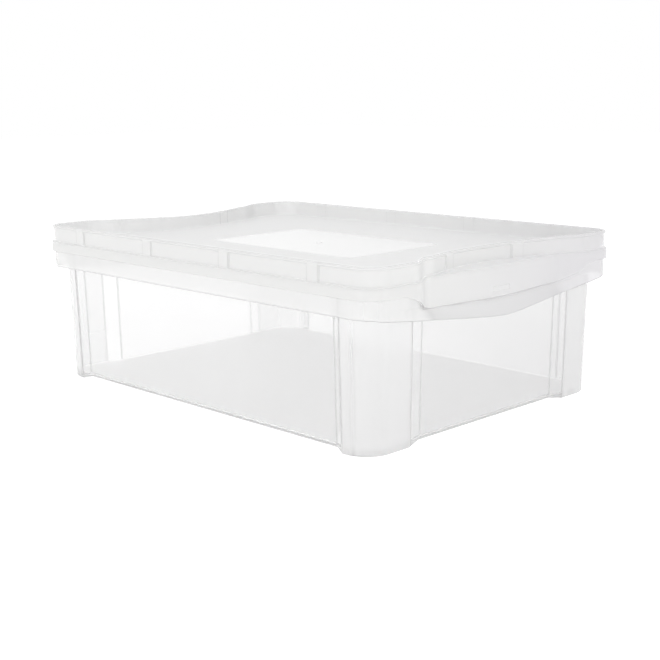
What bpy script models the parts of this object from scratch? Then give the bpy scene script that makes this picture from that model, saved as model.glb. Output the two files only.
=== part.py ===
"""A storage box of translucent plastic: an open tub, and the tray-shaped lid that presses over its rim.

Metres, +Z up, +X along the box. The origin lies midway between the four feet, on the surface they stand on.
Each piece is one moulding. Its surface is lofted through closed rings, from the middle of its underside out
and up to the middle of its top. One quarter is lofted and mirrored twice.
"""

import math

import bmesh
import bpy

# Whole box
LENGTH = 0.500  # over the lid's skirt at the corners
WIDTH = 0.367
HEIGHT = 0.1687  # from the feet to the top of the lid's standing wall
SEAT_GAP = 0.0003  # between the tub's rim and the plate that rests on it
SKIRT_GAP = 0.0010  # between the lid's skirt and the rim inside it
FLAP_GAP = 0.0008  # between a flap's lower edge and the handle's shoulder below it
EDGE_ROUND = 0.0006  # the small broken edges of both mouldings

# Lid
LID_WALL = 0.0020
PLATE = 0.0020
TRAY_DEPTH = 0.0174  # from the top of the standing wall down to the plate
LID_CORNER = 0.0270  # corner radius over the skirt's lower edge
SKIRT_HEIGHT = 0.0105  # below the plate's top
SKIRT_LEAN = 0.0004  # the skirt's draft
LEDGE = 0.0026  # from the skirt in to the standing wall's face
LIP_PROUD = 0.0010  # the lip round the top of the standing wall
LIP_HEIGHT = 0.0020
RIB_PROUD = 0.0014  # the upright ribs on the standing wall
RIB_WIDTH = 0.0130
RIB_SIDE = 0.0012
RIBS_EACH_WAY = 2  # on a side, either way from its middle
RIB_MARGIN = 0.0450  # from the end of a side's straight run to its last rib's middle
END_RIB_PLACE = 0.0510  # from the middle of an end to the rib's middle on its arc
ARC_DEPTH = 0.0350  # how far the middle of an end's standing wall lies in from the skirt
ARC_RADIUS = 0.2216
ARC_BLEND = 0.0025  # softens where the arc meets the wall along the skirt
ARC_DIP = 0.0022  # the standing wall is lower in the middle of an end

# Handles: the flaps on the lid and the finger lips on the tub
FLAP_HEIGHT = 0.0283  # below the plate's top
CORNER_FLAT = 0.0285  # straight stretch of the skirt's end beyond its corner's curve
HANDLE_RAMP = 0.0360  # from that stretch to where the end is fully set back
CHEEK_DEPTH = 0.0030  # hollow in the rim's lower part where the handle begins
CHEEK_RUN = 0.0180  # either way from its deepest place
FLAP_SLOPE = 0.0560  # along the end, over which the skirt's lower edge runs down to the flap's
FLAP_SLOPE_START = 0.0105  # from the corner's curve to the start of that slope
HANDLE_CROWN = 0.0045  # the end bows out again towards its middle
FLAP_FLARE = 0.0030  # the flap's lower edge bows out this much more
NICK_WIDTH = 0.0260  # the thumb nick in a flap
NICK_HEIGHT = 0.0045
NICK_DEPTH = 0.0012
NICK_RISE = 0.0075  # from the flap's lower edge to the nick's middle
NICK_ROUND = 0.0010
FINGER_LIP_SET_BACK = 0.0020  # the finger lip's edge, in from the rim's corners
FINGER_LIP_CROWN = 0.0035
FINGER_LIP_DROP = 0.0180  # the lip's edge in the middle of the end, below the rim's lower edge
FINGER_LIP_REACH = 0.1750  # from the middle of the end to where that drop has run out
FINGER_LIP_POWER_SHARE = 1.25

# Tub
TUB_WALL = 0.0020
FLOOR = 0.0020
RIM_HEIGHT = 0.0256  # the turned-down rim, top to lower edge
RIM_BAND = 0.0040  # upright band above the rim's lower edge
SHOULDER_RISE = 0.0008
END_OVERHANG = 0.0100  # from the rim's outer face in to the columns' faces, at the rim's top
SIDE_OVERHANG = 0.0053
WALL_LEAN = 0.0036  # the walls' draft, rim to feet
WALL_CORNER = 0.0280
END_COLUMN_FLAT = 0.0264  # straight face of a corner column beyond its curve
SIDE_COLUMN_FLAT = 0.0035
END_COLUMN_RAMP = 0.0175  # from a column's face to the panel beside it
SIDE_COLUMN_RAMP = 0.0105
END_RECESS = 0.0044  # how far the panels lie in from the columns' faces
SIDE_RECESS = 0.0047
FOOT_HEIGHT = 0.0026
FOOT_WIDTH = 0.0220
FOOT_SIDE = 0.0025
FOOT_ROUND = 0.0015
FLOOR_ROUND = 0.0030
ROOT_STEP = 0.0005  # least width of the slot between the wall and the turned-down rim
SHELF_RISE = 0.0012
SHELF_SLOPE = 0.0041

# Steps along a quarter of a ring
END_STEPS = (9, 8, 6)
LID_END_STEPS = (3, 1, 1, 1, 3, 8, 3)
SIDE_STEPS = (1, 1, 7)
CORNER_STEPS = 9
SMOOTH_DEGREES = 35
MERGE = 0.00001

# Heights
PLATE_TOP = HEIGHT - TRAY_DEPTH
PLATE_UNDERSIDE = PLATE_TOP - PLATE
RIM_TOP = PLATE_UNDERSIDE - SEAT_GAP
RIM_EDGE = RIM_TOP - RIM_HEIGHT
FLAP_EDGE = PLATE_TOP - FLAP_HEIGHT
SHOULDER = FLAP_EDGE - FLAP_GAP
FLOOR_TOP = FOOT_HEIGHT + FLOOR

# Places seen from above
RIM_SET_IN = LID_WALL + SKIRT_GAP
SET_BACK = END_OVERHANG + END_RECESS
CORNER_X = LENGTH / 2 - LID_CORNER
CORNER_Y = WIDTH / 2 - LID_CORNER
HANDLE_OUTER = CORNER_Y - CORNER_FLAT
HANDLE_INNER = HANDLE_OUTER - HANDLE_RAMP
WALL_TOP_X = LENGTH / 2 - RIM_SET_IN - END_OVERHANG
WALL_TOP_Y = WIDTH / 2 - RIM_SET_IN - SIDE_OVERHANG
WALL_CORNER_X = WALL_TOP_X - WALL_LEAN - WALL_CORNER
WALL_CORNER_Y = WALL_TOP_Y - WALL_LEAN - WALL_CORNER
COLUMN_Y = WALL_CORNER_Y - END_COLUMN_FLAT
COLUMN_X = WALL_CORNER_X - SIDE_COLUMN_FLAT
RIB_PITCH = (CORNER_X - RIB_MARGIN) / (RIBS_EACH_WAY - 0.5)


def spread(knots, steps):
    """Places from the first knot to the last, with its number of equal steps between each two knots."""
    places = [knots[0]]
    for start, end, count in zip(knots, knots[1:], steps):
        places += [start + (end - start) * step / count for step in range(1, count + 1)]
    return places


def falling(place, start, end):
    """1 up to start and 0 from end on, with a straight run between."""
    return min(max((end - place) / (end - start), 0), 1)


def eased(share):
    """The share with its straight run turned into an S."""
    return share * share * (3 - 2 * share)


def outline(centre, radius, end_places, end_x, side_places, side_y):
    """A quarter outline from above: along the end, round the corner, and along the side to its middle."""
    points = [(end_x(y), y) for y in end_places]
    for step in range(1, CORNER_STEPS):
        angle = math.pi / 2 * step / CORNER_STEPS
        points.append((centre[0] + radius * math.cos(angle), centre[1] + radius * math.sin(angle)))
    points += [(x, side_y(x)) for x in side_places]
    return points


def raised(points, height):
    """The outline as a ring in space. height(x, y) gives each point's height."""
    return [(x, y, height(x, y)) for x, y in points]


def level(z):
    """The height function of a flat ring."""
    return lambda x, y: z


def handle_share(y):
    """1 along an end's handle, 0 at its corners."""
    return eased(falling(y, HANDLE_INNER, HANDLE_OUTER))


def crown_share(y):
    """1 in the middle of a handle, 0 where its ramps begin."""
    return math.cos(math.pi / 2 * min(y / HANDLE_INNER, 1)) ** 2


def cheek_share(y):
    """1 where a handle's ramp begins, 0 from the cheek's run on either way."""
    share = falling(y, HANDLE_OUTER - CHEEK_RUN, HANDLE_OUTER + CHEEK_RUN)
    return math.sin(math.pi * share) ** 2


def rib_share(place, middles):
    """1 over a rib's face, 0 beside the rib."""
    half = RIB_WIDTH / 2
    return max(falling(abs(place - middle), half, half + RIB_SIDE) for middle in middles)


def rib_middles():
    """Places of the ribs on half a side, the last one first."""
    return [RIB_PITCH * (count + 0.5) for count in reversed(range(RIBS_EACH_WAY))]


def rib_knots(middle):
    """Where a rib's near side starts and ends, and its far side starts and ends."""
    half = RIB_WIDTH / 2
    return [middle - half - RIB_SIDE, middle - half, middle + half, middle + half + RIB_SIDE]


def lid_end_places():
    """Places along half an end of the lid, with the rib's edges among them."""
    knots = [0, *rib_knots(END_RIB_PLACE), HANDLE_INNER, HANDLE_OUTER, CORNER_Y]
    return spread(knots, LID_END_STEPS)


def lid_side_places():
    """Places along half a side of the lid, from the corner to the middle, with the ribs' edges among them."""
    places = [CORNER_X]
    for middle in rib_middles():
        places += reversed(rib_knots(middle))
    return places + [0]


def skirt_outline(inset, crown, set_back=SET_BACK):
    """The skirt drawn in by inset all round, set back along the handle and bowed out there by crown."""
    half_length = LENGTH / 2 - inset
    half_width = WIDTH / 2 - inset

    def end_x(y):
        return half_length - set_back * handle_share(y) + crown * crown_share(y)

    def side_y(x):
        return half_width

    radius = LID_CORNER - inset
    return outline((CORNER_X, CORNER_Y), radius, lid_end_places(), end_x, lid_side_places(), side_y)


def standing_outline(inset, rib):
    """The standing wall's face drawn in by inset, with ribs that stand proud by rib."""
    drawn_in = SKIRT_LEAN + LEDGE + inset
    half_length = LENGTH / 2 - drawn_in
    half_width = WIDTH / 2 - drawn_in
    arc_middle = LENGTH / 2 - ARC_DEPTH + ARC_RADIUS - inset

    def end_x(y):
        along_skirt = half_length - SET_BACK * handle_share(y) + HANDLE_CROWN * crown_share(y)
        along_arc = arc_middle - math.sqrt(max(ARC_RADIUS * ARC_RADIUS - y * y, 0))
        lower = (along_skirt + along_arc - math.hypot(along_skirt - along_arc, ARC_BLEND)) / 2
        return lower + rib * rib_share(y, [END_RIB_PLACE])

    def side_y(x):
        return half_width + rib * rib_share(x, rib_middles())

    radius = LID_CORNER - drawn_in
    return outline((CORNER_X, CORNER_Y), radius, lid_end_places(), end_x, lid_side_places(), side_y)


def lid_rings():
    """The lid's rings, from the plate's underside round the skirt and standing wall to the plate's top."""
    slope_start = CORNER_Y - FLAP_SLOPE_START

    def edge(x, y):
        share = eased(falling(y, slope_start - FLAP_SLOPE, slope_start))
        return PLATE_TOP - SKIRT_HEIGHT - (FLAP_HEIGHT - SKIRT_HEIGHT) * share

    def below_top(drop):
        return lambda x, y: HEIGHT - drop - ARC_DIP * eased(falling(y, 0, HANDLE_OUTER))

    low_crown = HANDLE_CROWN + FLAP_FLARE
    lip = standing_outline(-LIP_PROUD, 0)
    inner = standing_outline(LID_WALL, 0)
    ribbed = standing_outline(0, RIB_PROUD)
    return [
        raised(skirt_outline(SKIRT_LEAN + LID_WALL, HANDLE_CROWN), level(PLATE_UNDERSIDE)),
        raised(skirt_outline(LID_WALL, low_crown), edge),
        raised(skirt_outline(0, low_crown), edge),
        raised(skirt_outline(SKIRT_LEAN, HANDLE_CROWN), level(PLATE_TOP - EDGE_ROUND)),
        raised(skirt_outline(SKIRT_LEAN + EDGE_ROUND, HANDLE_CROWN), level(PLATE_TOP)),
        raised(ribbed, level(PLATE_TOP)),
        raised(ribbed, below_top(LIP_HEIGHT + LIP_PROUD)),
        raised(lip, below_top(LIP_HEIGHT)),
        raised(lip, below_top(EDGE_ROUND)),
        raised(standing_outline(EDGE_ROUND - LIP_PROUD, 0), below_top(0)),
        raised(standing_outline(LID_WALL - EDGE_ROUND, 0), below_top(0)),
        raised(inner, below_top(EDGE_ROUND)),
        raised(inner, level(PLATE_TOP)),
    ]


def rim_outline(inset, crown, set_back=SET_BACK, cheek=0):
    """The rim's outer face drawn in by inset. It is set back along the handle, bowed out there by crown, and
    hollowed by cheek where the handle begins."""
    drawn_in = RIM_SET_IN + inset
    half_length = LENGTH / 2 - drawn_in
    half_width = WIDTH / 2 - drawn_in
    end_places = spread([0, HANDLE_INNER, HANDLE_OUTER, CORNER_Y], END_STEPS)
    side_places = spread([CORNER_X, COLUMN_X, COLUMN_X - SIDE_COLUMN_RAMP, 0], SIDE_STEPS)

    def end_x(y):
        in_by = set_back * handle_share(y) + cheek * cheek_share(y)
        return half_length - in_by + crown * crown_share(y)

    def side_y(x):
        return half_width

    radius = LID_CORNER - drawn_in
    return outline((CORNER_X, CORNER_Y), radius, end_places, end_x, side_places, side_y)


def end_panel_share(y):
    """1 over an end's recessed panel, 0 over its columns."""
    return falling(y, COLUMN_Y - END_COLUMN_RAMP, COLUMN_Y)


def side_panel_share(x):
    """1 over a side's recessed panel, 0 over its columns."""
    return falling(x, COLUMN_X - SIDE_COLUMN_RAMP, COLUMN_X)


def wall_outline(height, inset=0, crown=0):
    """The wall's outer face drawn in by inset. height(x, y) says at what height, since the wall leans."""
    end_places = spread([0, COLUMN_Y - END_COLUMN_RAMP, COLUMN_Y, WALL_CORNER_Y], END_STEPS)
    side_places = spread([WALL_CORNER_X, COLUMN_X, COLUMN_X - SIDE_COLUMN_RAMP, 0], SIDE_STEPS)

    def lean(x, y):
        return WALL_LEAN * (1 - height(x, y) / RIM_TOP) + inset

    def end_x(y):
        panel = END_RECESS * end_panel_share(y)
        return WALL_TOP_X - lean(WALL_TOP_X, y) - panel + crown * crown_share(y)

    def side_y(x):
        return WALL_TOP_Y - lean(x, WALL_TOP_Y) - SIDE_RECESS * side_panel_share(x)

    spare = WALL_LEAN - lean(WALL_CORNER_X, WALL_TOP_Y)
    radius = WALL_CORNER + spare
    return outline((WALL_CORNER_X, WALL_CORNER_Y), radius, end_places, end_x, side_places, side_y)


def wall_ring(height, inset=0, crown=0):
    """A ring on the wall's face, or drawn in from it."""
    return raised(wall_outline(height, inset, crown), height)


def tub_rings():
    """The tub's rings, from under its floor up the wall, round the turned-down rim and down its inside."""

    def foot(rise):
        return lambda x, y: FOOT_HEIGHT * max(end_panel_share(y), side_panel_share(x)) + rise

    def root(x, y):
        high = RIM_TOP - TUB_WALL
        return high - (high - SHOULDER + TUB_WALL) * handle_share(y)

    def shoulder(rise):
        return lambda x, y: RIM_EDGE + RIM_BAND - (RIM_EDGE + RIM_BAND - SHOULDER) * handle_share(y) + rise

    def waist(x, y):
        return min(root(x, y), shoulder(0)(x, y)) - EDGE_ROUND

    def lip_edge(x, y):
        drop = max(1 - (y / FINGER_LIP_REACH) ** FINGER_LIP_POWER_SHARE, 0)
        return RIM_EDGE - FINGER_LIP_DROP * drop

    low_crown = HANDLE_CROWN + FLAP_FLARE
    shoulder_set_back = SET_BACK - RIM_SET_IN + SEAT_GAP
    shoulder_outline = rim_outline(0, low_crown, shoulder_set_back, CHEEK_DEPTH)
    waist_outline = rim_outline(TUB_WALL, low_crown, shoulder_set_back, CHEEK_DEPTH)
    root_wall = wall_outline(root)
    root_rim = []
    for (x, y), (wall_x, _) in zip(rim_outline(SKIRT_LEAN + TUB_WALL, low_crown), root_wall):
        if y < CORNER_Y:
            on_shelf = root(x, y) < shoulder(0)(x, y)
            reach = RIM_SET_IN - SEAT_GAP - EDGE_ROUND if on_shelf else 0
            x = max(x + reach, wall_x + ROOT_STEP)
        root_rim.append((x, y))
    inner_top = level(RIM_TOP)
    shelf_top = level(SHOULDER - TUB_WALL + SHELF_RISE + SHELF_SLOPE)
    shelf_foot = level(SHOULDER - TUB_WALL + SHELF_RISE)
    return [
        raised(wall_outline(foot(0), FOOT_WIDTH + FOOT_SIDE), level(FOOT_HEIGHT)),
        wall_ring(foot(0), FOOT_WIDTH),
        wall_ring(foot(0), FOOT_ROUND),
        wall_ring(foot(FOOT_ROUND)),
        wall_ring(level(SHOULDER - RIM_BAND)),
        wall_ring(root),
        raised(root_rim, root),
        raised(waist_outline, waist),
        raised(rim_outline(TUB_WALL, FINGER_LIP_CROWN, FINGER_LIP_SET_BACK), lip_edge),
        raised(rim_outline(0, FINGER_LIP_CROWN, FINGER_LIP_SET_BACK), lip_edge),
        raised(shoulder_outline, shoulder(0)),
        raised(rim_outline(0, low_crown, cheek=CHEEK_DEPTH), shoulder(SHOULDER_RISE)),
        raised(rim_outline(SKIRT_LEAN, HANDLE_CROWN), level(RIM_TOP - EDGE_ROUND)),
        raised(rim_outline(SKIRT_LEAN + EDGE_ROUND, HANDLE_CROWN), level(RIM_TOP)),
        wall_ring(inner_top, TUB_WALL, HANDLE_CROWN),
        wall_ring(shelf_top, TUB_WALL, low_crown),
        wall_ring(shelf_foot, TUB_WALL),
        wall_ring(level(FLOOR_TOP + FLOOR_ROUND), TUB_WALL),
        wall_ring(level(FLOOR_TOP), TUB_WALL + FLOOR_ROUND),
    ]


def plastic(name, colour, roughness):
    """Translucent plastic."""
    material = bpy.data.materials.new(name)
    material.use_nodes = True
    shader = material.node_tree.nodes["Principled BSDF"]
    shader.inputs["Base Color"].default_value = (*colour, 1)
    shader.inputs["Roughness"].default_value = roughness
    shader.inputs["Metallic"].default_value = 0
    shader.inputs["Transmission Weight"].default_value = 0.6
    return material


def mirror(obj):
    """Completes a quarter by mirroring it across both upright planes."""
    modifier = obj.modifiers.new("four_quarters", "MIRROR")
    modifier.use_axis = (True, True, False)
    modifier.merge_threshold = MERGE


def lofted(name, rings, origin_z, material, collection):
    """A closed piece through the rings of one quarter, with its origin on the upright axis at origin_z."""
    mesh = bpy.data.meshes.new(name)
    bm = bmesh.new()
    rows = [[bm.verts.new((x, y, z - origin_z)) for x, y, z in ring] for ring in rings]
    for lower, upper in zip(rows, rows[1:]):
        for i in range(len(lower) - 1):
            bm.faces.new((lower[i], lower[i + 1], upper[i + 1], upper[i]))
    bottom = bm.verts.new((0, 0, rings[0][0][2] - origin_z))
    top = bm.verts.new((0, 0, rings[-1][0][2] - origin_z))
    bm.faces.new((bottom, *reversed(rows[0])))
    bm.faces.new((top, *rows[-1]))
    bm.to_mesh(mesh)
    bm.free()
    mesh.materials.append(material)
    obj = bpy.data.objects.new(name, mesh)
    obj.location = (0, 0, origin_z)
    collection.objects.link(obj)
    mirror(obj)
    return obj


def cut(obj, cutter):
    """Takes the cutter's shape out of the piece."""
    modifier = obj.modifiers.new(cutter.name, "BOOLEAN")
    modifier.object = cutter
    modifier.operation = "DIFFERENCE"
    modifier.solver = "EXACT"


def nick_cutter(name, way, collection):
    """A small rounded block for the thumb nick in a flap. way is 1 at the +X end and -1 at the other."""
    fall = NICK_RISE / (FLAP_HEIGHT - EDGE_ROUND)
    face_x = LENGTH / 2 - SET_BACK + HANDLE_CROWN + FLAP_FLARE * (1 - fall) - SKIRT_LEAN * fall
    overrun = NICK_DEPTH + NICK_ROUND
    mesh = bpy.data.meshes.new(name)
    bm = bmesh.new()
    bmesh.ops.create_cube(bm, size=1)
    bmesh.ops.scale(bm, vec=(NICK_DEPTH + overrun, NICK_WIDTH, NICK_HEIGHT), verts=bm.verts)
    bmesh.ops.bevel(bm, geom=bm.edges[:], offset=NICK_ROUND, segments=2, affect="EDGES", profile=0.5)
    bm.to_mesh(mesh)
    bm.free()
    obj = bpy.data.objects.new(name, mesh)
    middle_x = face_x + (overrun - NICK_DEPTH) / 2
    obj.location = (way * middle_x, 0, FLAP_EDGE + NICK_RISE)
    obj.hide_render = True
    obj.display_type = "WIRE"
    collection.objects.link(obj)
    return obj


def smooth(obj):
    """Smooth faces, with the folds between flat faces kept sharp."""
    obj.data.shade_smooth()
    obj.data.set_sharp_from_angle(angle=math.radians(SMOOTH_DEGREES))


def main():
    for obj in list(bpy.data.objects):
        bpy.data.objects.remove(obj)
    parts = bpy.data.collections.new("storage_box")
    cutters = bpy.data.collections.new("cutters")
    for collection in (parts, cutters):
        bpy.context.scene.collection.children.link(collection)
    tub = lofted("tub", tub_rings(), 0, plastic("tub_plastic", (0.90, 0.92, 0.93), 0.22), parts)
    lid = lofted("lid", lid_rings(), RIM_TOP, plastic("lid_plastic", (0.88, 0.90, 0.92), 0.32), parts)
    for side, way in (("right", 1), ("left", -1)):
        cut(lid, nick_cutter(f"nick_{side}", way, cutters))
    for obj in (tub, lid):
        smooth(obj)


main()
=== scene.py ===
"""The looks of a translucent storage box: its tub and lid finely moulded, with a studio and a camera."""

import math

import bmesh
import bpy
import numpy as np
from mathutils import Matrix, Vector


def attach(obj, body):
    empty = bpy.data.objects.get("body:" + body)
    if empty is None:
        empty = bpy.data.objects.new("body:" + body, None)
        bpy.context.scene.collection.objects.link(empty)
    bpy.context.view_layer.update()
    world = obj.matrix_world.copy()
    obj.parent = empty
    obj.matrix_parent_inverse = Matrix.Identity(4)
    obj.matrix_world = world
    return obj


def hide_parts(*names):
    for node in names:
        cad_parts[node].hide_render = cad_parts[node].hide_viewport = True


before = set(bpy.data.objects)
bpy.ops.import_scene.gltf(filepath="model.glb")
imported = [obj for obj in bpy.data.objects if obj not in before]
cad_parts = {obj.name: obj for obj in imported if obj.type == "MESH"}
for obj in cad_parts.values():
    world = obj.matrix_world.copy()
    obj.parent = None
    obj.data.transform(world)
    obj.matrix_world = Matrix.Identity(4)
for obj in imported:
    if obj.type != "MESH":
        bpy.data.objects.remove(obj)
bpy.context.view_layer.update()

# Whole box, in metres
LENGTH = 0.500
WIDTH = 0.367
HEIGHT = 0.1687
SEAT_GAP = 0.0003
SKIRT_GAP = 0.0010
FLAP_GAP = 0.0008

# Lid
WALL = 0.0020
PLATE = 0.0020
TRAY_DEPTH = 0.0174
LID_CORNER = 0.0270
SKIRT_HEIGHT = 0.0105
SKIRT_LEAN = 0.0004
LEDGE = 0.0026
LIP_PROUD = 0.0010
LIP_HEIGHT = 0.0020
RIB_PROUD = 0.0014
RIB_WIDTH = 0.0130
RIB_SIDE = 0.0012
RIBS_EACH_WAY = 2
RIB_MARGIN = 0.0450
END_RIB_PLACE = 0.0510
ARC_DEPTH = 0.0350
ARC_RADIUS = 0.2216
ARC_BLEND = 0.0025
ARC_DIP = 0.0022

# Handles
FLAP_HEIGHT = 0.0283
CORNER_FLAT = 0.0285
HANDLE_RAMP = 0.0360
CHEEK_DEPTH = 0.0030
CHEEK_RUN = 0.0180
FLAP_SLOPE = 0.0560
FLAP_SLOPE_START = 0.0105
HANDLE_CROWN = 0.0045
FLAP_FLARE = 0.0030
NICK_SIZE = (0.0012, 0.0260, 0.0045)
NICK_RISE = 0.0075
NICK_ROUND = 0.0010
FINGER_LIP_SET_BACK = 0.0020
FINGER_LIP_CROWN = 0.0035
FINGER_LIP_DROP = 0.0180
FINGER_LIP_REACH = 0.1750
FINGER_LIP_POWER = 1.25

# Tub
RIM_HEIGHT = 0.0256
RIM_BAND = 0.0040
SHOULDER_RISE = 0.0008
END_OVERHANG = 0.0100
SIDE_OVERHANG = 0.0053
WALL_LEAN = 0.0036
WALL_CORNER = 0.0280
END_COLUMN_FLAT = 0.0264
SIDE_COLUMN_FLAT = 0.0035
END_COLUMN_RAMP = 0.0175
SIDE_COLUMN_RAMP = 0.0105
END_RECESS = 0.0044
SIDE_RECESS = 0.0047
FOOT_HEIGHT = 0.0026
FOOT_WIDTH = 0.0220
FOOT_SIDE = 0.0025
ROOT_STEP = 0.0005
SHELF_RISE = 0.0012
SHELF_SLOPE = 0.0041

# The polished window in the lid's plate, and the radii and rises of the gate mark in the plate's middle
WINDOW_MIDDLE = (-0.0015, 0.0085)
WINDOW_HALF = (0.1055, 0.0675)
WINDOW_CORNER = 0.0080
WINDOW_BLUR = 0.0004
GATE_RINGS = ((0.0046, 0.0), (0.0040, -0.00035), (0.0030, -0.00035), (0.0026, 0.0008), (0.0012, 0.0010))

# Rings by their place in the lists of tub_rings and lid_rings, from 0 on: the first and last of a stretch
TUB_OUTSIDE = (3, 5)
TUB_RIM = (6, 12)
RIM_FACE = (8, 11)
RIM_LOWER_EDGE = (8, 9)
TUB_INSIDE = (13, 16)
LID_RIBS = (5, 6)
LEDGE_RING = 4
LIP_TOP_RING = 8
TRAY_TOP_RING = 9

# How strongly the plastic counts as bent, from 0 to 1: a bend is darker, partly for the thicker plastic and
# partly as painted shade; on the finger lip it is painted shade under the flap
RIM_EDGE_FOLD = 0.9
LIP_SHADE = 0.25
LID_RING_FOLDS = {LIP_TOP_RING: 0.7, TRAY_TOP_RING: 0.4, LEDGE_RING: 0.35}
RIB_FOLD = 0.4

# The clearer stripe in a corner column, a painted highlight in place of a lamp's reflection: how much, how far
# round the corner and how wide
HIGHLIGHT_STRIPE_CLEAR = 0.6
HIGHLIGHT_STRIPE_PLACE = 0.8
HIGHLIGHT_STRIPE_SPREAD = 0.004

# Places
PLATE_TOP = HEIGHT - TRAY_DEPTH
PLATE_UNDERSIDE = PLATE_TOP - PLATE
RIM_TOP = PLATE_UNDERSIDE - SEAT_GAP
RIM_EDGE = RIM_TOP - RIM_HEIGHT
FLAP_EDGE = PLATE_TOP - FLAP_HEIGHT
SHOULDER = FLAP_EDGE - FLAP_GAP
FLOOR_TOP = FOOT_HEIGHT + WALL
RIM_SET_IN = WALL + SKIRT_GAP
SET_BACK = END_OVERHANG + END_RECESS
CORNER_X = LENGTH / 2 - LID_CORNER
CORNER_Y = WIDTH / 2 - LID_CORNER
HANDLE_OUTER = CORNER_Y - CORNER_FLAT
HANDLE_INNER = HANDLE_OUTER - HANDLE_RAMP
WALL_TOP_X = LENGTH / 2 - RIM_SET_IN - END_OVERHANG
WALL_TOP_Y = WIDTH / 2 - RIM_SET_IN - SIDE_OVERHANG
WALL_CORNER_X = WALL_TOP_X - WALL_LEAN - WALL_CORNER
WALL_CORNER_Y = WALL_TOP_Y - WALL_LEAN - WALL_CORNER
COLUMN_Y = WALL_CORNER_Y - END_COLUMN_FLAT
COLUMN_X = WALL_CORNER_X - SIDE_COLUMN_FLAT
RIB_PITCH = (CORNER_X - RIB_MARGIN) / (RIBS_EACH_WAY - 0.5)

# Meshes
LID_END_COUNTS = (12, 1, 4, 1, 9, 12, 8)  # how many places lie between two knots
LID_SIDE_COUNTS = (6, 1, 3, 1, 12, 1, 3, 1, 6)
TUB_END_COUNTS = (24, 14, 12)
TUB_SIDE_COUNTS = (4, 5, 16)
CORNER_STEPS = 24
FOLD_STEPS = 3
FOLD_REACH = 0.45  # the most that a softened fold takes of the face beside it
CREASE = 0.0009  # how near a fold's own points lie to it
FLAT_CORE = 0.97  # a flat face's innermost ring, as a share of the ring round it
FLOOR_BORDER = 0.02
ROOT_CLEAR = 0.0006  # keeps the rim's inner folds off its outside
SHARP_ANGLE = 50
SAME_POINT = 1e-6
NO_LENGTH = 1e-7


def falling(place, start, end):
    return min(max((end - place) / (end - start), 0), 1)


def eased(share):
    return share * share * (3 - 2 * share)


def places_between(knots, counts):
    """Places from the first knot to the last: a count of them between each two, and two that hug a knot."""
    way = 1 if knots[-1] > knots[0] else -1
    marks = [knots[0]]
    steps = []
    for number, (knot, count) in enumerate(zip(knots[1:], counts)):
        last = number == len(counts) - 1
        marks += [knot] if last else [knot - way * CREASE, knot, knot + way * CREASE]
        steps += [count] if last else [count, 1, 1]
    places = [marks[0]]
    for start, end, count in zip(marks, marks[1:], steps):
        places += [start + (end - start) * k / count for k in range(1, count + 1)]
    return places


def outline(centre, radius, end_places, end_x, side_places, side_y):
    points = [(end_x(y), y) for y in end_places]
    for step in range(1, CORNER_STEPS):
        angle = math.pi / 2 * step / CORNER_STEPS
        points.append((centre[0] + radius * math.cos(angle), centre[1] + radius * math.sin(angle)))
    return points + [(x, side_y(x)) for x in side_places]


def core(points):
    """A flat face's innermost ring, from the ring round it."""
    return [(x * FLAT_CORE, y * FLAT_CORE) for x, y in points]


def raised(points, height):
    return [(x, y, height(x, y)) for x, y in points]


def level(z):
    return lambda x, y: z


def handle_share(y):
    return eased(falling(y, HANDLE_INNER, HANDLE_OUTER))


def crown_share(y):
    return math.cos(math.pi / 2 * min(y / HANDLE_INNER, 1)) ** 2


def cheek_share(y):
    return math.sin(math.pi * falling(y, HANDLE_OUTER - CHEEK_RUN, HANDLE_OUTER + CHEEK_RUN)) ** 2


def rib_share(place, middles):
    half = RIB_WIDTH / 2
    return max(falling(abs(place - middle), half, half + RIB_SIDE) for middle in middles)


RIB_MIDDLES = [RIB_PITCH * (count + 0.5) for count in reversed(range(RIBS_EACH_WAY))]


def rib_knots(middle):
    half = RIB_WIDTH / 2
    return [middle - half - RIB_SIDE, middle - half, middle + half, middle + half + RIB_SIDE]


LID_END_KNOTS = [0, *rib_knots(END_RIB_PLACE), HANDLE_INNER, HANDLE_OUTER, CORNER_Y]
LID_SIDE_KNOTS = [CORNER_X, *[knot for middle in RIB_MIDDLES for knot in reversed(rib_knots(middle))], 0]
LID_END = places_between(LID_END_KNOTS, LID_END_COUNTS)
LID_SIDE = places_between(LID_SIDE_KNOTS, LID_SIDE_COUNTS)
RIM_END = places_between([0, HANDLE_INNER, HANDLE_OUTER, CORNER_Y], TUB_END_COUNTS)
RIM_SIDE = places_between([CORNER_X, COLUMN_X, COLUMN_X - SIDE_COLUMN_RAMP, 0], TUB_SIDE_COUNTS)
WALL_END = places_between([0, COLUMN_Y - END_COLUMN_RAMP, COLUMN_Y, WALL_CORNER_Y], TUB_END_COUNTS)
WALL_SIDE = places_between([WALL_CORNER_X, COLUMN_X, COLUMN_X - SIDE_COLUMN_RAMP, 0], TUB_SIDE_COUNTS)


def fold_numbers(ends, sides, end_knots, side_knots):
    """Where along a ring the given knots lie."""
    before_sides = len(ends) + CORNER_STEPS - 1
    return [ends.index(k) for k in end_knots] + [before_sides + sides.index(k) for k in side_knots]


WALL_FOLDS = fold_numbers(
    WALL_END, WALL_SIDE, (COLUMN_Y - END_COLUMN_RAMP, COLUMN_Y), (COLUMN_X, COLUMN_X - SIDE_COLUMN_RAMP)
)
LID_FOLDS = fold_numbers(LID_END, LID_SIDE, LID_END_KNOTS[1:5], LID_SIDE_KNOTS[1:-1])


def skirt_outline(inset, crown):
    half_length = LENGTH / 2 - inset
    half_width = WIDTH / 2 - inset

    def end_x(y):
        return half_length - SET_BACK * handle_share(y) + crown * crown_share(y)

    return outline((CORNER_X, CORNER_Y), LID_CORNER - inset, LID_END, end_x, LID_SIDE, lambda x: half_width)


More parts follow.
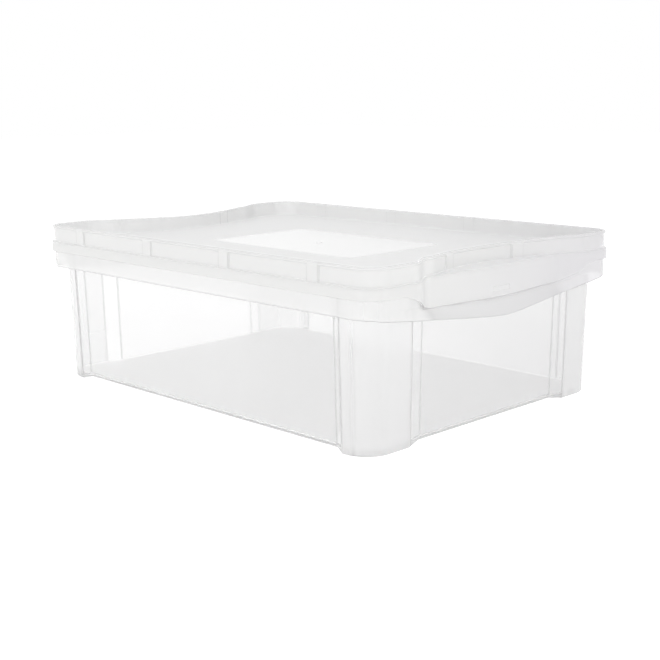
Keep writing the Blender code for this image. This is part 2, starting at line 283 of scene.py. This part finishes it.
def standing_outline(inset, rib):
    drawn_in = SKIRT_LEAN + LEDGE + inset
    half_length = LENGTH / 2 - drawn_in
    half_width = WIDTH / 2 - drawn_in
    arc_middle = LENGTH / 2 - ARC_DEPTH + ARC_RADIUS - inset

    def end_x(y):
        along_skirt = half_length - SET_BACK * handle_share(y) + HANDLE_CROWN * crown_share(y)
        along_arc = arc_middle - math.sqrt(max(ARC_RADIUS * ARC_RADIUS - y * y, 0))
        lower = (along_skirt + along_arc - math.hypot(along_skirt - along_arc, ARC_BLEND)) / 2
        return lower + rib * rib_share(y, [END_RIB_PLACE])

    def side_y(x):
        return half_width + rib * rib_share(x, RIB_MIDDLES)

    return outline((CORNER_X, CORNER_Y), LID_CORNER - drawn_in, LID_END, end_x, LID_SIDE, side_y)


def rounded(rings_and_radii):
    """The rings, with the fold at each one softened to its radius by FOLD_STEPS + 1 rings."""
    rings = [np.array(ring) for ring, _ in rings_and_radii]
    radii = [radius for _, radius in rings_and_radii[1:-1]]
    out = [rings[0]]
    for before, here, after, radius in zip(rings, rings[1:], rings[2:], radii):
        back, on = before - here, after - here
        back_length = np.linalg.norm(back, axis=1, keepdims=True)
        on_length = np.linalg.norm(on, axis=1, keepdims=True)
        reach = np.minimum(radius, FOLD_REACH * np.minimum(back_length, on_length))
        start = here + back / np.maximum(back_length, 1e-9) * reach
        end = here + on / np.maximum(on_length, 1e-9) * reach
        for k in range(FOLD_STEPS + 1):
            t = k / FOLD_STEPS
            out.append((1 - t) ** 2 * start + 2 * t * (1 - t) * here + t * t * end)
    out.append(rings[-1])
    return out


def fold_rows(ring, last=None):
    """The rows that soften the fold at a base ring, or all from there to the end of another's."""
    return range(1 + (ring - 1) * (FOLD_STEPS + 1), 1 + (last or ring) * (FOLD_STEPS + 1))


def crest(ring):
    """The rows in the middle of the fold at a base ring."""
    return fold_rows(ring)[1:-1]


def lid_rings():
    """The lid from its plate's underside, round the skirt and the standing wall, to the plate's top."""
    slope_start = CORNER_Y - FLAP_SLOPE_START

    def edge(x, y):
        share = eased(falling(y, slope_start - FLAP_SLOPE, slope_start))
        return PLATE_TOP - SKIRT_HEIGHT - (FLAP_HEIGHT - SKIRT_HEIGHT) * share

    def below_top(drop):
        return lambda x, y: HEIGHT - drop - ARC_DIP * eased(falling(y, 0, HANDLE_OUTER))

    low_crown = HANDLE_CROWN + FLAP_FLARE
    ribbed = standing_outline(0, RIB_PROUD)
    lip = standing_outline(-LIP_PROUD, 0)
    inner = standing_outline(WALL, 0)
    plate_edge = core(inner)
    return rounded([
        (raised(plate_edge, level(PLATE_UNDERSIDE)), 0),
        (raised(skirt_outline(SKIRT_LEAN + WALL, HANDLE_CROWN), level(PLATE_UNDERSIDE)), 0.0008),
        (raised(skirt_outline(WALL, low_crown), edge), 0.0005),
        (raised(skirt_outline(0, low_crown), edge), 0.0007),
        (raised(skirt_outline(SKIRT_LEAN, HANDLE_CROWN), level(PLATE_TOP)), 0.0008),
        (raised(ribbed, level(PLATE_TOP)), 0.0006),
        (raised(ribbed, below_top(LIP_HEIGHT + LIP_PROUD)), 0.0004),
        (raised(lip, below_top(LIP_HEIGHT)), 0.0005),
        (raised(lip, below_top(0)), 0.0010),
        (raised(inner, below_top(0)), 0.0010),
        (raised(inner, level(PLATE_TOP)), 0.0025),
        (raised(plate_edge, level(PLATE_TOP)), 0),
    ])


def end_panel_share(y):
    return falling(y, COLUMN_Y - END_COLUMN_RAMP, COLUMN_Y)


def side_panel_share(x):
    return falling(x, COLUMN_X - SIDE_COLUMN_RAMP, COLUMN_X)


def rim_outline(inset, crown, set_back=SET_BACK, cheek=0):
    drawn_in = RIM_SET_IN + inset
    half_length = LENGTH / 2 - drawn_in
    half_width = WIDTH / 2 - drawn_in

    def end_x(y):
        in_by = set_back * handle_share(y) + cheek * cheek_share(y)
        return half_length - in_by + crown * crown_share(y)

    def side_y(x):
        return half_width

    return outline((CORNER_X, CORNER_Y), LID_CORNER - drawn_in, RIM_END, end_x, RIM_SIDE, side_y)


def wall_outline(height, inset=0, crown=0):
    def lean(x, y):
        return WALL_LEAN * (1 - height(x, y) / RIM_TOP) + inset

    def end_x(y):
        return WALL_TOP_X - lean(WALL_TOP_X, y) - END_RECESS * end_panel_share(y) + crown * crown_share(y)

    def side_y(x):
        return WALL_TOP_Y - lean(x, WALL_TOP_Y) - SIDE_RECESS * side_panel_share(x)

    radius = WALL_CORNER + WALL_LEAN - lean(WALL_CORNER_X, WALL_TOP_Y)
    return outline((WALL_CORNER_X, WALL_CORNER_Y), radius, WALL_END, end_x, WALL_SIDE, side_y)


def wall_ring(height, inset=0, crown=0):
    return raised(wall_outline(height, inset, crown), height)


def tub_rings():
    """The tub from its underside up the wall's outside, round the rim and down the inside to its floor."""
    def foot(x, y):
        return FOOT_HEIGHT * max(end_panel_share(y), side_panel_share(x))

    def root(x, y):
        high = RIM_TOP - WALL
        return high - (high - SHOULDER + WALL) * handle_share(y)

    def shoulder(rise):
        return lambda x, y: RIM_EDGE + RIM_BAND - (RIM_EDGE + RIM_BAND - SHOULDER) * handle_share(y) + rise

    def waist(x, y):
        return min(root(x, y), shoulder(0)(x, y)) - ROOT_CLEAR

    def lip_edge(x, y):
        drop = max(1 - (y / FINGER_LIP_REACH) ** FINGER_LIP_POWER, 0)
        return RIM_EDGE - FINGER_LIP_DROP * drop

    low_crown = HANDLE_CROWN + FLAP_FLARE
    shoulder_set_back = SET_BACK - RIM_SET_IN + SEAT_GAP
    root_wall = wall_outline(root)
    root_rim = []
    for (x, y), (wall_x, _) in zip(rim_outline(SKIRT_LEAN + WALL, low_crown), root_wall):
        if y < CORNER_Y:
            reach = RIM_SET_IN - SEAT_GAP - ROOT_CLEAR if root(x, y) < shoulder(0)(x, y) else 0
            x = max(x + reach, wall_x + ROOT_STEP)
        root_rim.append((x, y))
    shelf_foot = SHOULDER - WALL + SHELF_RISE
    underside = wall_outline(foot, FOOT_WIDTH + FOOT_SIDE)
    return rounded([
        (raised(core(underside), level(FOOT_HEIGHT)), 0),
        (raised(underside, level(FOOT_HEIGHT)), 0.0010),
        (wall_ring(foot, FOOT_WIDTH), 0.0010),
        (wall_ring(foot), 0.0026),
        (wall_ring(level(SHOULDER - RIM_BAND)), 0.0002),
        (wall_ring(root), 0.0006),
        (raised(root_rim, root), 0.0004),
        (raised(rim_outline(WALL, low_crown, shoulder_set_back, CHEEK_DEPTH), waist), 0.0006),
        (raised(rim_outline(WALL, FINGER_LIP_CROWN, FINGER_LIP_SET_BACK), lip_edge), 0.0006),
        (raised(rim_outline(0, FINGER_LIP_CROWN, FINGER_LIP_SET_BACK), lip_edge), 0.0010),
        (raised(rim_outline(0, low_crown, shoulder_set_back, CHEEK_DEPTH), shoulder(0)), 0.0006),
        (raised(rim_outline(0, low_crown, cheek=CHEEK_DEPTH), shoulder(SHOULDER_RISE)), 0.0006),
        (raised(rim_outline(SKIRT_LEAN, HANDLE_CROWN), level(RIM_TOP)), 0.0010),
        (wall_ring(level(RIM_TOP), WALL, HANDLE_CROWN), 0.0006),
        (wall_ring(level(shelf_foot + SHELF_SLOPE), WALL, low_crown), 0.0010),
        (wall_ring(level(shelf_foot), WALL), 0.0015),
        (wall_ring(level(FLOOR_TOP), WALL), 0.0034),
        (wall_ring(level(FLOOR_TOP), WALL + FLOOR_BORDER), 0),
    ])


def on_wall(row):
    """Whether a row of the tub lies on its wall's outside or inside."""
    return row in fold_rows(*TUB_OUTSIDE) or row in fold_rows(*TUB_INSIDE)


def tub_fold_shade(row, place):
    """How strongly the tub's plastic is bent, its darker tint partly painted shade: at its columns' edges and
    along the rim's lower edge, and as painted shade on the finger lip under the flap.
    """
    if on_wall(row):
        return 1.0 if place in WALL_FOLDS else 0.0
    handle = handle_share(RIM_END[place]) if place < len(RIM_END) else 0.0
    inner, outer = (crest(ring) for ring in RIM_LOWER_EDGE)
    lower_edge = RIM_EDGE_FOLD if inner.start <= row < outer.stop else 0.0
    # Painted shade on the finger lip, under the flap
    lip_shade = LIP_SHADE if row in fold_rows(*RIM_FACE) else 0.0
    return lower_edge * (1 - handle) ** 2 + lip_shade * handle ** 3


def tub_cloud_and_highlight(row, place):
    """1 over the tub's corner columns, but for a clearer stripe round the corner, which is a painted highlight.
    """
    if not on_wall(row) or not WALL_FOLDS[1] <= place <= WALL_FOLDS[2]:
        return 0.0
    round_corner = (place - len(WALL_END) + 1) / CORNER_STEPS
    return 1 - HIGHLIGHT_STRIPE_CLEAR * math.exp(-(round_corner - HIGHLIGHT_STRIPE_PLACE) ** 2 / HIGHLIGHT_STRIPE_SPREAD)


def lid_fold_shade(row, place):
    """How strongly the lid's plastic is bent, its darker tint partly painted shade: at its ribs' edges and
    along the standing wall's top.
    """
    for ring, strength in LID_RING_FOLDS.items():
        if row in crest(ring):
            return strength
    return RIB_FOLD if place in LID_FOLDS and row in fold_rows(*LID_RIBS) else 0.0


def shell(name, rings, marks, looks, top_rings=()):
    """A closed mesh through the rings of one quarter, mirrored twice. marks gives each vertex attribute as a
    function of the row and the place along it, looks gives a material number with the rows of faces that
    take it, and top_rings are circles on the axis."""
    count = len(rings[0])

    def circle(radius, z):
        angles = [math.atan2(p[1] / WIDTH, p[0] / LENGTH) for p in rings[-1]]
        return [(radius * math.cos(a), radius * math.sin(a), z) for a in angles]

    last = float(rings[-1][0][2])
    rows = [list(map(tuple, ring)) for ring in rings] + [circle(r, last + dz) for r, dz in top_rings]
    bm = bmesh.new()
    layers = {mark: bm.verts.layers.float.new(mark) for mark in marks}
    verts = [[bm.verts.new(p) for p in row] for row in rows]
    for mark, layer in layers.items():
        for row, line in enumerate(verts[:len(rings)]):
            for place, vert in enumerate(line):
                vert[layer] = marks[mark](row, place)

    def look(row):
        return next((number for number, its_rows in looks.items() if row in its_rows), 0)

    for row, (lower, upper) in enumerate(zip(verts, verts[1:])):
        for i in range(count - 1):
            bm.faces.new((lower[i], lower[i + 1], upper[i + 1], upper[i])).material_index = look(row)
    bottom, top = bm.verts.new((0, 0, rows[0][0][2])), bm.verts.new((0, 0, rows[-1][0][2]))
    bm.faces.new((bottom, *reversed(verts[0]))).material_index = look(0)
    bm.faces.new((top, *verts[-1])).material_index = look(len(rows) - 2)
    for axis in (0, 1):
        copy = bmesh.ops.duplicate(bm, geom=bm.verts[:] + bm.faces[:])["geom"]
        flipped = [g for g in copy if isinstance(g, bmesh.types.BMVert)]
        for v in flipped:
            v.co[axis] = -v.co[axis]
        bmesh.ops.reverse_faces(bm, faces=[g for g in copy if isinstance(g, bmesh.types.BMFace)])
        seam = [v for v in bm.verts if abs(v.co[axis]) < SAME_POINT]
        bmesh.ops.remove_doubles(bm, verts=seam, dist=SAME_POINT)
    bmesh.ops.dissolve_degenerate(bm, dist=NO_LENGTH, edges=bm.edges)
    mesh = bpy.data.meshes.new(name)
    bm.to_mesh(mesh)
    bm.free()
    obj = bpy.data.objects.new(name, mesh)
    bpy.context.scene.collection.objects.link(obj)
    return obj


def cut_nicks(lid):
    """Takes the thumb nick out of each flap, with a rounded block that leans as the flap does."""
    fall = NICK_RISE / FLAP_HEIGHT
    face_x = LENGTH / 2 - SET_BACK + HANDLE_CROWN + FLAP_FLARE * (1 - fall) - SKIRT_LEAN * fall
    lean = math.atan2(FLAP_FLARE + SKIRT_LEAN, FLAP_HEIGHT)
    cutters = []
    for way in (1, -1):
        bm = bmesh.new()
        bmesh.ops.create_cube(bm, size=1)
        bmesh.ops.scale(bm, vec=(2 * NICK_SIZE[0] + NICK_ROUND, *NICK_SIZE[1:]), verts=bm.verts)
        bmesh.ops.bevel(bm, geom=bm.edges[:], offset=NICK_ROUND, segments=4, affect="EDGES", profile=0.5)
        mesh = bpy.data.meshes.new("nick")
        bm.to_mesh(mesh)
        bm.free()
        cutter = bpy.data.objects.new("nick", mesh)
        cutter.location = (way * (face_x + NICK_ROUND / 2), 0, FLAP_EDGE + NICK_RISE)
        cutter.rotation_euler = (0, -way * lean, 0)
        bpy.context.scene.collection.objects.link(cutter)
        modifier = lid.modifiers.new("nick", "BOOLEAN")
        modifier.object, modifier.operation, modifier.solver = cutter, "DIFFERENCE", "EXACT"
        cutters.append(cutter)
    bpy.context.view_layer.update()
    whole = lid.evaluated_get(bpy.context.evaluated_depsgraph_get())
    mesh = bpy.data.meshes.new_from_object(whole)
    lid.modifiers.clear()
    lid.data = mesh
    for cutter in cutters:
        bpy.data.objects.remove(cutter)


def dressed(obj, node, slot, *materials):
    """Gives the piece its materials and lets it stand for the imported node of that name."""
    for material in materials:
        obj.data.materials.append(material)
    obj.data.shade_smooth()
    obj.data.set_sharp_from_angle(angle=math.radians(SHARP_ANGLE))
    obj.modifiers.new("flat_faces", "WEIGHTED_NORMAL").keep_sharp = True
    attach(obj, node)
    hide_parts(node)


def add(tree, kind, **settings):
    node = tree.nodes.new(kind)
    for name, value in settings.items():
        setattr(node, name, value)
    return node


def maths(tree, operation, *values):
    """A Math node on sockets and numbers."""
    node = add(tree, "ShaderNodeMath", operation=operation)
    for socket, value in zip(node.inputs, values):
        if isinstance(value, (int, float)):
            socket.default_value = value
        else:
            tree.links.new(value, socket)
    return node.outputs[0]


def seen_as_background(tree):
    """1 for a ray that shows what is behind: the camera's own, a reflection or one through plastic."""
    path = add(tree, "ShaderNodeLightPath")
    either = maths(tree, "MAXIMUM", path.outputs["Is Camera Ray"], path.outputs["Is Glossy Ray"])
    return maths(tree, "MAXIMUM", either, path.outputs["Is Transmission Ray"])


def noise(tree, scale, detail):
    """A noise pattern in metres on the piece itself."""
    place = add(tree, "ShaderNodeTexCoord")
    node = add(tree, "ShaderNodeTexNoise")
    node.inputs["Scale"].default_value = scale
    node.inputs["Detail"].default_value = detail
    tree.links.new(place.outputs["Object"], node.inputs["Vector"])
    return node.outputs["Fac"]


def ranged(tree, value, start=(0.0, 1.0), to=(0.0, 1.0), smooth=False):
    """The value spread from its start range to another, and held at the ends."""
    node = add(tree, "ShaderNodeMapRange", interpolation_type="SMOOTHSTEP" if smooth else "LINEAR")
    for name, number in zip(("From Min", "From Max", "To Min", "To Max"), (*start, *to)):
        node.inputs[name].default_value = number
    tree.links.new(value, node.inputs["Value"])
    return node.outputs[0]


def own_place(tree):
    """The x, y and z of a point on the piece itself, in metres."""
    place = add(tree, "ShaderNodeTexCoord")
    parts = add(tree, "ShaderNodeSeparateXYZ")
    tree.links.new(place.outputs["Object"], parts.inputs[0])
    return parts.outputs


def window_mask(tree, place):
    """1 inside the polished window of the plate, 0 outside it, from a rounded rectangle's distance."""
    squares = []
    for socket, middle, half in zip(place, WINDOW_MIDDLE, WINDOW_HALF):
        offset = maths(tree, "ABSOLUTE", maths(tree, "SUBTRACT", socket, middle))
        away = maths(tree, "SUBTRACT", offset, half - WINDOW_CORNER)
        squares.append(maths(tree, "POWER", maths(tree, "MAXIMUM", away, 0.0), 2.0))
    distance = maths(tree, "SQRT", maths(tree, "ADD", *squares))
    return ranged(tree, distance, (WINDOW_CORNER + WINDOW_BLUR, WINDOW_CORNER - WINDOW_BLUR))


def mixed(tree, factor, a, b, kind="FLOAT"):
    """a where the factor is 0 and b where it is 1. Each is a number, a colour or a socket."""
    node = add(tree, "ShaderNodeMix", data_type=kind)
    values = [socket for socket in node.inputs if socket.enabled]
    tree.links.new(factor, values[0])
    for socket, value in zip(values[1:], (a, b)):
        if isinstance(value, bpy.types.NodeSocket):
            tree.links.new(value, socket)
        else:
            socket.default_value = (*value, 1) if kind == "RGBA" else value
    out = [socket for socket in node.outputs if socket.enabled]
    return out[0]


# Each is a noise pattern's scale and detail
CLOUDINESS = (14, 4)
SHINE = (60, 3)
DRIFT = (5, 2)
GRAIN_DETAIL = 2

REFRACTION = 1.49
GRAZING = 0.45  # from here on to edge on, the edge's tint sets in
DRIFT_LENGTH = 0.06  # how far the far end's beginning wanders, in metres
END_SHADE_DOWN = (0.7, 1.0)  # the far end's painted shade at the rim's edge and at the feet
CLOUD_PLACES = (-0.2, 0.2)  # the corner columns' cloud grows along x between these
CLOUD_ALONG = (0.5, 1.0)
CLOUD_DOWN = (0.2, 1.25)
CLOUD_HOLDS = 0.27  # the transmission that the cloud takes away
CLOUD_BLURS = 0.12
CLOUD_LOW = 0.08  # below this height the cloud takes on the tint of the far end's painted shade, darker towards the feet
CLOUD_TINTS = 0.4
FOLD_ROUGHNESS = 0.35

# What each look says: tints are the two of a faint cloudiness, and edge_tint is the one edge on. transmission
# is face on and edge on. grain is the surface's fine bump, its scale and height. fold is the tint and the
# transmission along a bend, the tint partly for the thicker plastic and partly painted shade. The far end has
# a painted shade, darker on the side that gets less light; it takes some transmission away, and sets in
# between two places along x, or along x and a share of y. shade is how much lamplight a face lets by.
LOOKS = {
    "tub_wall": {
        "tints": ((0.950, 0.949, 0.950), (0.965, 0.964, 0.966)),
        "edge_tint": 0.84,
        "transmission": (0.91, 0.78),
        "roughness": (0.02, 0.05),
        "grain": (300, 0.000003),
        "fold": (0.58, 0.45),
        "end": {"tint": (0.845, 0.842, 0.846), "holds": 0.10, "share_of_y": 0.4, "places": (0.0, 0.40)},
        "shade": 0.96,
    },
    "tub_floor": {
        "tints": ((0.980, 0.980, 0.975), (0.990, 0.990, 0.990)),
        "edge_tint": 0.99,
        "transmission": (0.80, 0.70),
        "roughness": (0.27, 0.33),
        "grain": (1200, 0.000003),
        "fold": (0.70, 0.5),
        "end": {"tint": (0.95, 0.949, 0.95), "holds": 0.0, "share_of_y": 0.0, "places": (-0.20, 0.10)},
        "shade": 0.96,
    },
    "tub_rim": {
        "tints": ((0.925, 0.925, 0.92), (0.945, 0.945, 0.945)),
        "edge_tint": 0.84,
        "transmission": (0.74, 0.60),
        "roughness": (0.10, 0.16),
        "grain": (600, 0.00001),
        "fold": (0.52, 0.45),
        "end": {"tint": (0.81, 0.798, 0.823), "holds": 0.14, "share_of_y": 1.0, "places": (0.14, 0.43)},
        "shade": 0.96,
    },
    "lid_outer": {
        "tints": ((0.93, 0.93, 0.923), (0.95, 0.95, 0.948)),
        "edge_tint": 0.94,
        "transmission": (0.50, 0.40),
        "roughness": (0.14, 0.22),
        "grain": (700, 0.00001),
        "fold": (0.70, 0.4),
        "end": {"tint": (0.76, 0.747, 0.773), "holds": 0.14, "share_of_y": 1.0, "places": (0.21, 0.43)},
        "shade": 0.86,
    },
    "lid_skirt": {
        "tints": ((0.85, 0.85, 0.843), (0.875, 0.875, 0.873)),
        "edge_tint": 0.84,
        "transmission": (0.42, 0.30),
        "roughness": (0.14, 0.22),
        "grain": (700, 0.00001),
        "fold": (0.72, 0.4),
        "end": {"tint": (0.72, 0.707, 0.736), "holds": 0.15, "share_of_y": 1.0, "places": (0.14, 0.43)},
        "shade": 0.96,
    },
    "lid_tray": {
        "tints": ((0.835, 0.835, 0.833), (0.86, 0.86, 0.86)),
        "edge_tint": 0.85,
        "transmission": (0.33, 0.15),
        "roughness": (0.54, 0.62),
        "grain": (1500, 0.00006),
        "fold": (0.74, 0.15),
        "end": {"tint": (0.73, 0.728, 0.73), "holds": 0.04, "share_of_y": 1.0, "places": (0.10, 0.43)},
        "shade": 0.96,
        "window": {
            "tint": (0.905, 0.905, 0.905),
            "end_shade_tint": (0.79, 0.79, 0.79),
            "end_places": (-0.05, 0.25),
            "transmission": 0.06,
            "roughness": 0.12,
            "grain_share": 0.1,
        },
    },
}


def plastic(name):
    """The translucent plastic that LOOKS describes under that name."""
    look = LOOKS[name]
    material = bpy.data.materials.new(name)
    material.use_nodes = True
    tree = material.node_tree
    link = tree.links.new
    shader = tree.nodes["Principled BSDF"]
    shader.inputs["IOR"].default_value = REFRACTION
    x, y, z = own_place(tree)
    angle = add(tree, "ShaderNodeLayerWeight")
    angle.inputs["Blend"].default_value = 0.5
    facing = angle.outputs["Facing"]

    through = ranged(tree, facing, to=look["transmission"])
    shine = ranged(tree, noise(tree, *SHINE), to=look["roughness"])
    colour = mixed(tree, noise(tree, *CLOUDINESS), *look["tints"], "RGBA")
    grazing = ranged(tree, facing, (GRAZING, 1.0), smooth=True)
    colour = mixed(tree, grazing, colour, (look["edge_tint"],) * 3, "RGBA")

    # The far end's painted shade, darker where that side gets less light, and stronger lower down
    end = look["end"]
    slant = maths(tree, "ADD", x, maths(tree, "MULTIPLY", y, end["share_of_y"]))
    slant = maths(tree, "ADD", slant, maths(tree, "MULTIPLY", noise(tree, *DRIFT), DRIFT_LENGTH))
    along = ranged(tree, slant, end["places"], smooth=True)
    down = ranged(tree, z, (RIM_EDGE, 0.0), END_SHADE_DOWN)
    colour = mixed(tree, maths(tree, "MULTIPLY", along, down), colour, end["tint"], "RGBA")
    through = maths(tree, "SUBTRACT", through, maths(tree, "MULTIPLY", along, end["holds"]))

    # The corner columns, cloudier along x and lower down, darker at their feet in the far end's painted shade,
    # and with a clearer stripe that is a painted highlight
    cloud_and_highlight = add(tree, "ShaderNodeAttribute", attribute_name="cloud_and_highlight").outputs["Fac"]
    cloud_and_highlight = maths(tree, "MULTIPLY", cloud_and_highlight, ranged(tree, x, CLOUD_PLACES, CLOUD_ALONG))
    cloud_and_highlight = maths(tree, "MULTIPLY", cloud_and_highlight, ranged(tree, down, to=CLOUD_DOWN))
    through = maths(tree, "SUBTRACT", through, maths(tree, "MULTIPLY", cloud_and_highlight, CLOUD_HOLDS))
    shine = maths(tree, "ADD", shine, maths(tree, "MULTIPLY", cloud_and_highlight, CLOUD_BLURS))
    low = ranged(tree, z, (CLOUD_LOW, 0.0), (0.0, CLOUD_TINTS))
    colour = mixed(tree, maths(tree, "MULTIPLY", cloud_and_highlight, low), colour, end["tint"], "RGBA")

    # The folds: darker, partly for the thicker plastic and partly as painted shade
    bent = add(tree, "ShaderNodeAttribute", attribute_name="fold").outputs["Fac"]
    fold_shade_tint, fold_transmission = look["fold"]
    colour = mixed(tree, bent, colour, (fold_shade_tint,) * 3, "RGBA")
    through = mixed(tree, bent, through, fold_transmission)
    shine = mixed(tree, bent, shine, FOLD_ROUGHNESS)

    grain_scale, grain_height = look["grain"]
    bump = add(tree, "ShaderNodeBump")
    bump.inputs["Distance"].default_value = grain_height
    link(noise(tree, grain_scale, GRAIN_DETAIL), bump.inputs["Height"])
    if "window" in look:
        window = look["window"]
        mask = window_mask(tree, (x, y))
        # Painted shade: the window greys towards the far end, as that side gets less light
        window_shade = ranged(tree, slant, window["end_places"])
        clear = mixed(tree, window_shade, window["tint"], window["end_shade_tint"], "RGBA")
        colour = mixed(tree, mask, colour, clear, "RGBA")
        through = mixed(tree, mask, through, window["transmission"])
        shine = mixed(tree, mask, shine, window["roughness"])
        link(ranged(tree, mask, to=(1.0, window["grain_share"])), bump.inputs["Strength"])
    link(colour, shader.inputs["Base Color"])
    link(through, shader.inputs["Transmission Weight"])
    link(shine, shader.inputs["Roughness"])
    link(bump.outputs["Normal"], shader.inputs["Normal"])

    # Lamplight and diffuse light pass as if the plastic were clear
    path = add(tree, "ShaderNodeLightPath")
    lets = add(tree, "ShaderNodeBsdfTransparent")
    lets.inputs["Color"].default_value = (*(look["shade"],) * 3, 1)
    both = add(tree, "ShaderNodeMixShader")
    light = maths(tree, "MAXIMUM", path.outputs["Is Shadow Ray"], path.outputs["Is Diffuse Ray"])
    link(light, both.inputs["Fac"])
    link(shader.outputs[0], both.inputs[1])
    link(lets.outputs[0], both.inputs[2])
    link(both.outputs[0], tree.nodes["Material Output"].inputs["Surface"])
    return material


# Studio
WORLD_LIGHT = 0.70
WORLD_SEEN = 1.0
FLOOR_Z = -0.0003  # just under the feet, so that they don't share its plane
FLOOR_HALF = 6
FLOOR_COLOUR = (0.8, 0.8, 0.8, 1)
FLOOR_ROUGHNESS = 0.9
GLOW_PLACES = (0.5, 2.0)  # how far from the box the floor's glow changes, and from what to what
GLOW = (0.4, 0.6)
LAMPS = (  # name, place, size, watts
    ("key", (-0.5, -2.2, 1.7), 1.8, 22),
    ("top", (0.1, 0.2, 2.4), 2.0, 6),
    ("side", (2.2, -0.2, 1.0), 1.6, 14),
)
LAMPS_FACE = (0, 0, 0.08)

# The photograph's view, 45 degrees round from the long side and a little above: azimuth, elevation and roll
CAMERA_TURN = (45.33, 11.64, -0.56)
CAMERA_PLACE = (0.90159, -0.87603, 0.31545)
CAMERA_SENSOR = 36
CAMERA_LENS = 64.71


def studio():
    scene = bpy.context.scene
    world = bpy.data.worlds.new("studio")
    scene.world = world
    world.use_nodes = True
    tree = world.node_tree
    background = tree.nodes["Background"]
    strength = ranged(tree, seen_as_background(tree), to=(WORLD_LIGHT, WORLD_SEEN))
    tree.links.new(strength, background.inputs["Strength"])
    background.inputs["Color"].default_value = (1, 1, 1, 1)

    mesh = bpy.data.meshes.new("floor")
    corners = ((-1, -1), (1, -1), (1, 1), (-1, 1))
    mesh.from_pydata([(x * FLOOR_HALF, y * FLOOR_HALF, FLOOR_Z) for x, y in corners], [], [(0, 1, 2, 3)])
    floor = bpy.data.objects.new("floor", mesh)
    scene.collection.objects.link(floor)
    material = bpy.data.materials.new("floor")
    material.use_nodes = True
    tree = material.node_tree
    shader = tree.nodes["Principled BSDF"]
    shader.inputs["Base Color"].default_value = FLOOR_COLOUR
    shader.inputs["Roughness"].default_value = FLOOR_ROUGHNESS
    shader.inputs["Specular IOR Level"].default_value = 0
    glow = add(tree, "ShaderNodeEmission")
    place = add(tree, "ShaderNodeTexCoord")
    away = add(tree, "ShaderNodeVectorMath", operation="LENGTH")
    tree.links.new(place.outputs["Object"], away.inputs[0])
    strength = ranged(tree, away.outputs["Value"], GLOW_PLACES, GLOW)
    tree.links.new(maths(tree, "MULTIPLY", seen_as_background(tree), strength), glow.inputs["Strength"])
    both = add(tree, "ShaderNodeAddShader")
    tree.links.new(shader.outputs[0], both.inputs[0])
    tree.links.new(glow.outputs[0], both.inputs[1])
    tree.links.new(both.outputs[0], tree.nodes["Material Output"].inputs["Surface"])
    mesh.materials.append(material)

    for name, place, size, power in LAMPS:
        data = bpy.data.lights.new(name, "AREA")
        data.size = size
        data.energy = power
        lamp = bpy.data.objects.new(name, data)
        lamp.location = place
        lamp.visible_transmission = lamp.visible_glossy = False
        lamp.rotation_mode = "QUATERNION"
        lamp.rotation_quaternion = (Vector(LAMPS_FACE) - Vector(place)).to_track_quat("-Z", "Y")
        scene.collection.objects.link(lamp)


def camera():
    azimuth, elevation, roll = (math.radians(a) for a in CAMERA_TURN)
    level_part = math.cos(elevation)
    back = Vector((math.sin(azimuth) * level_part, -math.cos(azimuth) * level_part, math.sin(elevation)))
    right = (-back).cross(Vector((0, 0, 1))).normalized()
    up = right.cross(-back)
    turned_right = math.cos(roll) * right + math.sin(roll) * up
    turned_up = -math.sin(roll) * right + math.cos(roll) * up
    data = bpy.data.cameras.new("camera")
    data.sensor_width = CAMERA_SENSOR
    data.lens = CAMERA_LENS
    obj = bpy.data.objects.new("camera", data)
    turn = Matrix((turned_right, turned_up, back)).transposed()
    obj.matrix_world = Matrix.Translation(CAMERA_PLACE) @ turn.to_4x4()
    bpy.context.scene.collection.objects.link(obj)
    bpy.context.scene.camera = obj


def main():
    scene = bpy.context.scene
    scene.view_settings.view_transform = "Standard"
    scene.cycles.max_bounces = 24
    scene.cycles.transmission_bounces = 24
    scene.cycles.transparent_max_bounces = 32
    camera()
    studio()
    tub_shape = tub_rings()
    lid_shape = lid_rings()

    # The rows of faces that take a piece's second and third materials
    underside = range(fold_rows(TUB_OUTSIDE[0]).start + 1)
    inner_floor = range(fold_rows(TUB_INSIDE[1]).start + 1, len(tub_shape))
    rim = fold_rows(*TUB_RIM)
    tray = range(fold_rows(TRAY_TOP_RING).stop - 1, len(lid_shape) + len(GATE_RINGS))
    skirt = range(fold_rows(LID_RIBS[0]).start + 1)

    tub_marks = {"fold": tub_fold_shade, "cloud_and_highlight": tub_cloud_and_highlight}
    tub = shell("tub_shell", tub_shape, tub_marks, {1: {*underside, *inner_floor}, 2: rim})
    lid = shell("lid_shell", lid_shape, {"fold": lid_fold_shade}, {1: tray, 2: skirt}, GATE_RINGS)
    cut_nicks(lid)
    dressed(tub, "tub", "tub_plastic", *(plastic(name) for name in ("tub_wall", "tub_floor", "tub_rim")))
    dressed(lid, "lid", "lid_plastic", *(plastic(name) for name in ("lid_outer", "lid_tray", "lid_skirt")))


main()
